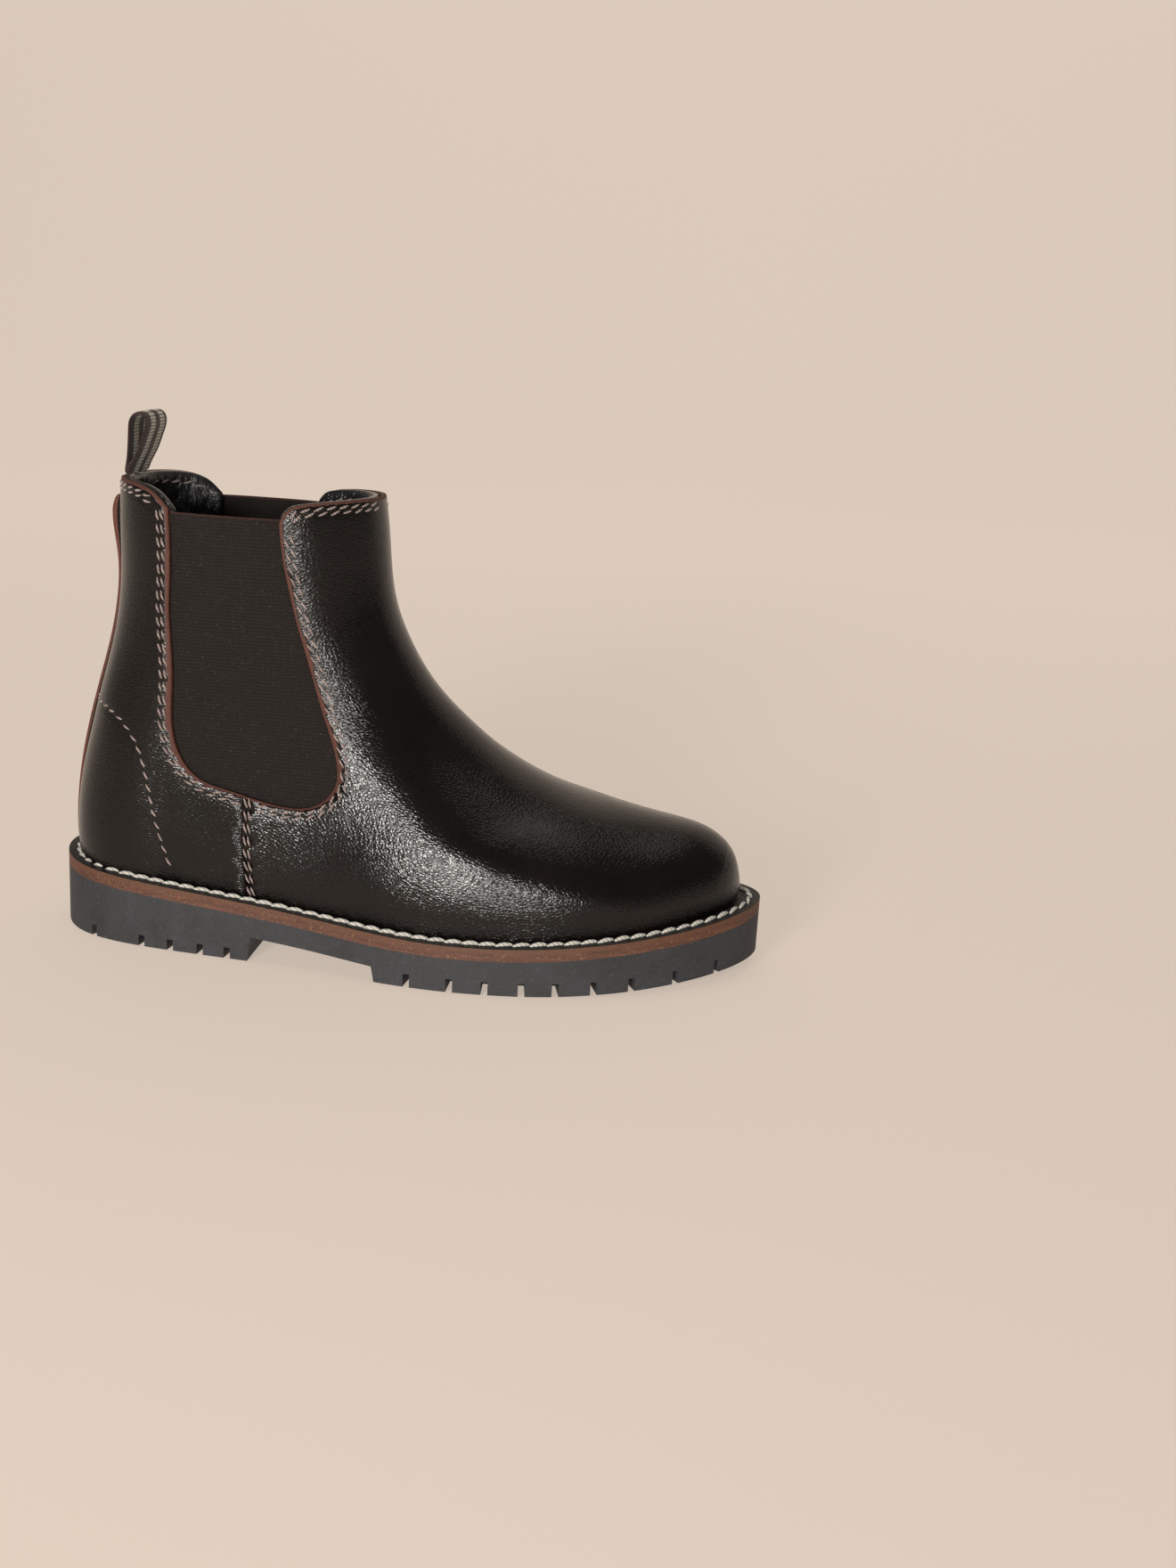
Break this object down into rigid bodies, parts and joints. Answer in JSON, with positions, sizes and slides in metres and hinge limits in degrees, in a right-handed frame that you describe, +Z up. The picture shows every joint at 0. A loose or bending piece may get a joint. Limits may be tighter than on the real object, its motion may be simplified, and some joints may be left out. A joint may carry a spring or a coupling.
{
  "type": "chelsea boot",
  "caption": "Ankle boot with elastic side gores, a webbing pull loop at the back, a welted leather midsole and a lugged rubber outsole with a low heel.",
  "frame": {"origin": "on the ground, under the middle of the boot's bounding box", "axes": "+X to the toe, +Y to the inner (medial) side of this right boot, +Z up"},
  "size_m": [0.227, 0.0919, 0.1645],
  "materials": {
    "upper_leather": "semi-gloss, fine pebbled grain, very dark brown-black",
    "raw_leather_edge": "raw cut edge, matte reddish brown",
    "gore_elastic": "ribbed elastic webbing, dark brown",
    "lining_leather": "glazed black lining leather, fine wrinkles",
    "stiffener": "pressed fibre sheet, matt",
    "interlining": "plain woven cotton",
    "thread_brown": "twisted dusty pink-grey thread",
    "thread_cream": "thick waxed cream thread",
    "welt_leather": "black top, brown burnished edge",
    "midsole_leather": "brown stacked leather edge, worn lighter below",
    "rubber": "matt dark grey-black rubber",
    "cork": "granulated cork filler",
    "steel": "spring steel strip",
    "insole_board": "pressed leather board",
    "foam": "soft latex foam",
    "loop_webbing": "dark brown woven tape with two cream ribbed stripes"
  },
  "bodies": {
    "boot": {"vamp": "upper_leather", "quarter_lateral": "upper_leather", "quarter_medial": "upper_leather", "gore_lateral": "gore_elastic", "gore_medial": "gore_elastic", "vamp_lining": "lining_leather", "quarter_lining": "lining_leather", "heel_counter": "stiffener", "toe_puff": "stiffener", "vamp_interlining": "interlining", "quarter_interlining": "interlining", "pull_loop_ends": "loop_webbing", "back_seam_strip": "raw_leather_edge", "gore_stitching_lateral": "thread_brown", "gore_stitching_medial": "thread_brown", "collar_stitching": "thread_brown", "side_seam_stitching": "thread_brown", "counter_stitching": "thread_brown", "welt_stitching": "thread_cream", "outsole": "rubber", "midsole": "midsole_leather", "welt": "welt_leather", "shank": "steel", "bottom_filler": "cork", "insole_board": "insole_board", "heel_nails": "steel", "heel_pad": "foam", "sock_liner": "lining_leather"},
    "loop": {"pull_loop": "loop_webbing"}
  },
  "joints": [
    {"name": "pull_loop_swing", "type": "hinge", "parent": "boot", "child": "loop", "pos_m": [-0.091, 0, 0.14595], "axis": [0, 1, 0], "range_deg": [-55, 40], "stiffness_Nm_per_rad": 0.002}
  ]
}
